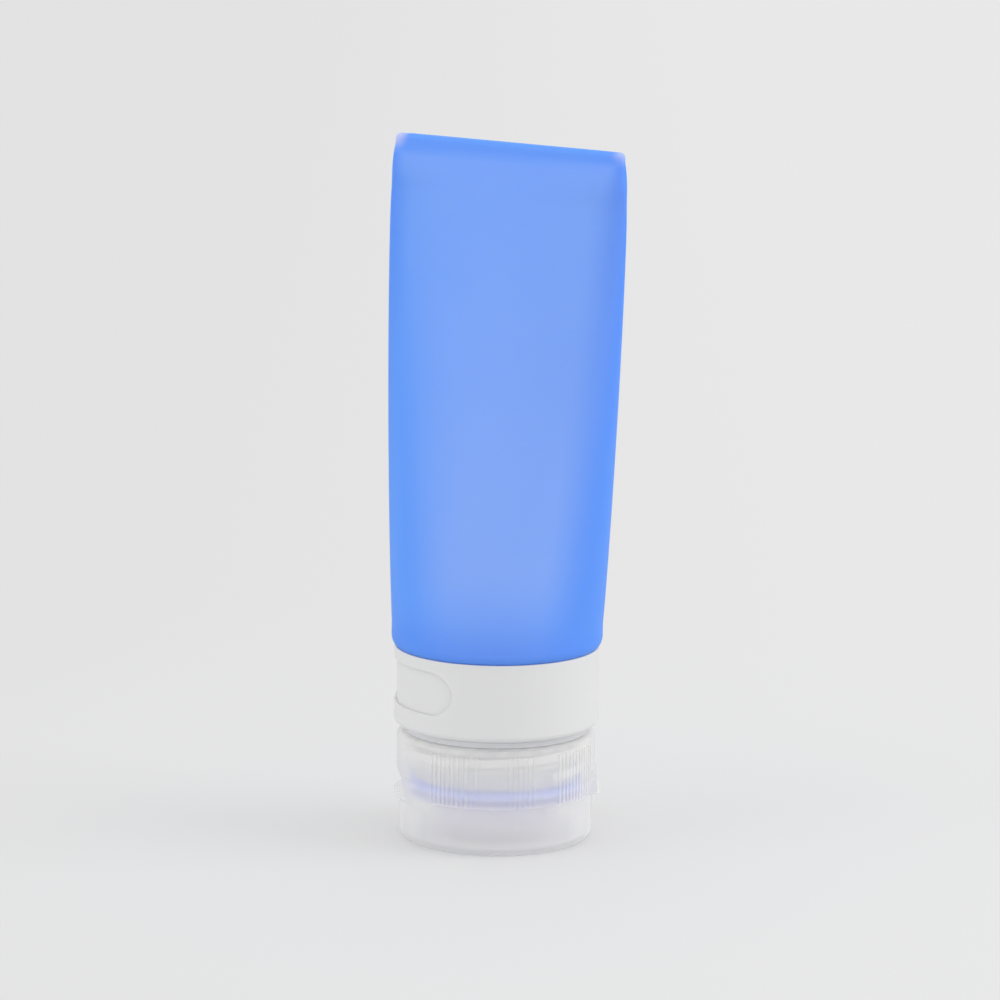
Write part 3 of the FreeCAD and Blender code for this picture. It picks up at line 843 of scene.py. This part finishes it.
def milky_finish(name, low_wall, high_wall, gloss_from):
    """A milky wall: light scattered back and through, mixed with a clear view. A wall is
    a haze and a colour, and the finish goes from one wall below the deck's level to another
    above it. The haze thickens where the eye looks along the wall, and a gloss grows there."""
    material, tree = new_material(name)
    place = object_place(tree)
    low_haze, low_colour = low_wall
    high_haze, high_colour = high_wall
    least_haze, colour = low_wall
    if high_wall != low_wall:
        rise = ramp(tree, height_of(tree, place), DECK_LOW, DECK_HIGH)
        least_haze = ramp(tree, rise, 0.0, 1.0, low_haze, high_haze)
        colour = colour_mix(tree, rise, low_colour, high_colour)
    waves = relief(tree, place, **MILKY_WAVES)
    milk = add_node(tree, "ShaderNodeBsdfPrincipled", {
        "Base Color": colour,
        "Roughness": 0.36,
        "Specular IOR Level": 0.4,
        "Normal": waves,
    })
    through = add_node(tree, "ShaderNodeBsdfTranslucent", {"Color": colour, "Normal": waves})
    clear = add_node(tree, "ShaderNodeBsdfTransparent", {"Color": grey(1.0)})
    mirror = add_node(tree, "ShaderNodeBsdfPrincipled", {
        "Base Color": GLOSS_GREY,
        "Metallic": 1.0,
        "Roughness": 0.25,
        "Normal": waves,
    })
    facing = eye_angle(tree)
    most_haze = min(1.0, low_haze + EDGE_HAZE)
    haze = ramp(tree, facing, EDGE_HAZE_FROM, 1.0, least_haze, most_haze)
    gloss = ramp(tree, facing, gloss_from, 1.0, 0.0, EDGE_GLOSS)
    scatter = shader_mix(tree, THROUGH_MILK, milk, through)
    wall = shader_mix(tree, haze, clear, scatter)
    show(tree, shader_mix(tree, gloss, wall, mirror))
    return material


def dress(node, material):
    """Gives a frame piece its finish in place of every slot it came with."""
    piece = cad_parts[node]
    piece.data.materials.clear()
    piece.data.materials.append(material)


white_plastic = white_finish()
milky_lid = milky_finish("milky_lid", LID_MILK, LID_MILK, LID_GLOSS_FROM)
milky_cap = milky_finish("milky_cap", DECK_MILK, SKIRT_MILK, CAP_GLOSS_FROM)
milky_neck = milky_finish("milky_neck", NECK_MILK, NECK_MILK, CAP_GLOSS_FROM)
milky_thread = milky_finish("milky_thread", THREAD_MILK, THREAD_MILK, CAP_GLOSS_FROM)
for node, material in (
    ("collar", white_plastic),
    ("label_ring", white_plastic),
    ("lid", milky_lid),
    ("cap_body", milky_cap),
    ("neck", milky_neck),
    ("valve", valve_silicone),
):
    dress(node, material)
    print(node, "is dressed in", material.name)

# %% [markdown]
# ## Screw threads
#
# The cap screws onto the neck by a right-handed thread of four millimetres a turn. A ridge
# stands out from the neck, another stands in from the cap's skirt, and they lie half a
# turn's rise apart, so they mesh without touching however far the cap is screwed. Each is
# a small profile carried along a helix. The Screw modifier could carry it as well, but its
# height wouldn't fade in and out at the ends, as it does on a moulded thread.

# %% Threads
NECK_RADIUS = 16.5 * MM
CAP_BORE = 17.9 * MM
PITCH = 4.0 * MM
THREAD_REACH = 0.85 * MM
THREAD_FOOT = 1.7 * MM
THREAD_CREST = 0.7 * MM
THREAD_SUNK = 0.08 * MM
THREAD_TURNS = 1.35
THREAD_LOW = 15.2 * MM
THREAD_START = np.radians(-205.0)
THREAD_FADE = 0.5
THREAD_LEAST = 0.06
THREAD_STEPS = 220


def thread_ridge(name, root, reach, start):
    """A section of six points is carried along a helix: the turn t gives its bearing, and
    the level rises by the pitch for each full turn. The foot lies just inside the wall, and
    the crest rises and falls by a smooth step over the first and the last stretch."""
    end = THREAD_TURNS * 2 * np.pi
    turn = np.linspace(0, end, THREAD_STEPS)[:, None]
    fade = smooth_step(turn, 0, THREAD_FADE) * (1 - smooth_step(turn, end - THREAD_FADE, end))
    crest = reach * (THREAD_LEAST + (1 - THREAD_LEAST) * fade)
    wall = 0 * turn
    sunk = wall - THREAD_SUNK * np.sign(reach)
    radius = root + np.concatenate([sunk, sunk, wall, crest, crest, wall], axis=1)
    above = np.array([
        THREAD_FOOT, -THREAD_FOOT, -THREAD_FOOT, -THREAD_CREST, THREAD_CREST, THREAD_FOOT,
    ]) / 2
    level = THREAD_LOW + PITCH * turn / (2 * np.pi) + above[None, :]
    bearing = start + turn
    points = np.stack([radius * np.cos(bearing), radius * np.sin(bearing), level], -1)
    index = point_numbers(THREAD_STEPS, len(above))
    ends = [index[0][::-1].tolist(), index[-1].tolist()]
    return link_mesh(name, points, ring_quads(index).tolist() + ends, smooth=False)


neck_thread = thread_ridge("neck_thread", NECK_RADIUS, THREAD_REACH, THREAD_START)
cap_thread = thread_ridge("cap_thread", CAP_BORE, -THREAD_REACH, THREAD_START + np.pi)
for thread, body in ((neck_thread, "bottle"), (cap_thread, "cap")):
    thread.data.materials.append(milky_thread)
    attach(thread, body)
print("thread faces:", len(neck_thread.data.polygons), len(cap_thread.data.polygons))

# %% [markdown]
# ## The hinge strap
#
# The lid and the cap are moulded together, joined by a strap of thin plastic that bulges
# out round the hinge line when the lid is shut. On the bottle it bends as the lid swings.
# Here it is one curved sheet in its shut shape, fixed where it stands and tied to neither
# the cap nor the lid, with rows enough for a smooth bend.

# %% Hinge strap
HINGE_ANGLE = np.radians(25.0)
HINGE_REACH = 20.3 * MM
HINGE_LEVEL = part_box("lid")[1].z
STRAP_WIDTH = 11.0 * MM
STRAP_RADIUS = 0.345 * MM
STRAP_WALL = 0.25 * MM
STRAP_DEGREES = 95
STRAP_ROUNDNESS = 0.25
STRAP_ROWS = 41
STRAP_COLUMNS = 48


def hinge_strap():
    """Half a ring round the hinge line. The angle a runs to both sides of level, and each
    step of it carries a flat section: at turn u a point is |cos u|^r of half the width
    aside and sin u of half the wall out, where a small r makes the ends blunt."""
    angle = np.radians(np.linspace(-STRAP_DEGREES, STRAP_DEGREES, STRAP_ROWS))[:, None]
    turn = full_turn(STRAP_COLUMNS)
    aside = np.sign(np.cos(turn)) * np.abs(np.cos(turn)) ** STRAP_ROUNDNESS * STRAP_WIDTH / 2
    aside = aside + 0 * angle
    radius = STRAP_RADIUS + np.sin(turn) * STRAP_WALL / 2
    outwards = HINGE_REACH + radius * np.cos(angle)
    level = HINGE_LEVEL + radius * np.sin(angle)
    points = np.stack([
        outwards * np.cos(HINGE_ANGLE) - aside * np.sin(HINGE_ANGLE),
        outwards * np.sin(HINGE_ANGLE) + aside * np.cos(HINGE_ANGLE),
        level,
    ], -1)
    index = point_numbers(STRAP_ROWS, STRAP_COLUMNS)
    quads = ring_quads(index, column_first=True)
    ends = [index[0].tolist(), index[-1][::-1].tolist()]
    return link_mesh("hinge_strap", points, quads.tolist() + ends)


strap = hinge_strap()
strap.data.materials.append(milky_lid)
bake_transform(strap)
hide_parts("hinge_film")
print("strap faces:", len(strap.data.polygons))
